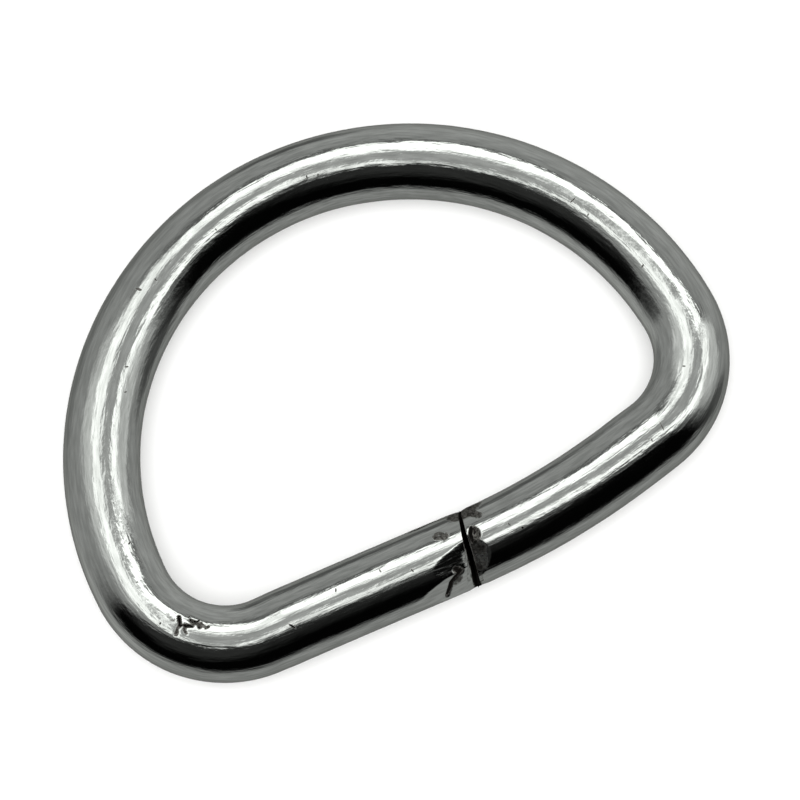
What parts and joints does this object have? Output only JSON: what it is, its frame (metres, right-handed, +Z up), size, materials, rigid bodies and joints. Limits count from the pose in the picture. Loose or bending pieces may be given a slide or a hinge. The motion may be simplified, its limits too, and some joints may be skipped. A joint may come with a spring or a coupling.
{
  "type": "d ring",
  "caption": "D-shaped ring bent from one round wire: a round bow, two tight corners and a nearly straight strap side whose ends meet in an open seam.",
  "frame": {"origin": "on the surface that the ring lies on, under the middle of its outer box", "axes": "+X along the strap side, +Y from the strap side to the bow, +Z up and square to the ring's plane"},
  "size_m": [0.0328, 0.0238, 0.0037],
  "materials": {
    "nickel_plated_steel": "bright neutral nickel plate over steel wire, mirror-like, with fine draw lines along the wire"
  },
  "bodies": {
    "root": {"wire_ring": "nickel_plated_steel"}
  },
  "joints": []
}
